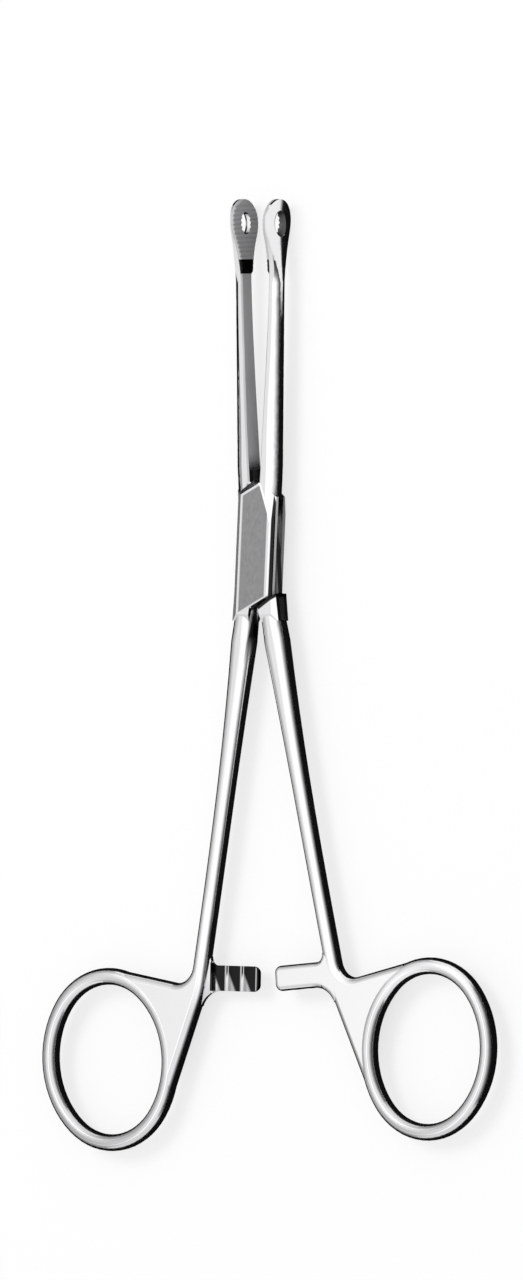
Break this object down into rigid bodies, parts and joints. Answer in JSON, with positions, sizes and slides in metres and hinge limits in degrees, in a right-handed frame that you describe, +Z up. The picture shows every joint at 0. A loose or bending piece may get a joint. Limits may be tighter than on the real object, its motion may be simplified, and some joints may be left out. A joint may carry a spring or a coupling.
{
  "type": "intestinal forceps",
  "caption": "Ringed, ratcheted hand forceps with slender fenestrated jaws, cross-serrated inside, joined by a box lock, for holding bowel.",
  "frame": {"origin": "on the lock pin's axis, at the lock's lower face", "axes": "+Y along the forceps towards the jaw tips, X the way the jaws open, +Z up as the forceps lies flat"},
  "size_m": [0.0942, 0.1607, 0.0072],
  "materials": {
    "arm_steel": "mirror-polished stainless steel, satin on the lock and the gripping faces",
    "pin_steel": "ground flush with the satin face of the lock"
  },
  "bodies": {
    "box_half": {"box_arm": "arm_steel", "lock_pin": "pin_steel"},
    "tongue_half": {"tongue_arm": "arm_steel"}
  },
  "joints": [
    {"name": "lock_pivot", "type": "hinge", "parent": "box_half", "child": "tongue_half", "pos_m": [0, 0, 0.002], "axis": [0, 0, 1], "range_deg": [-6, 44]}
  ]
}
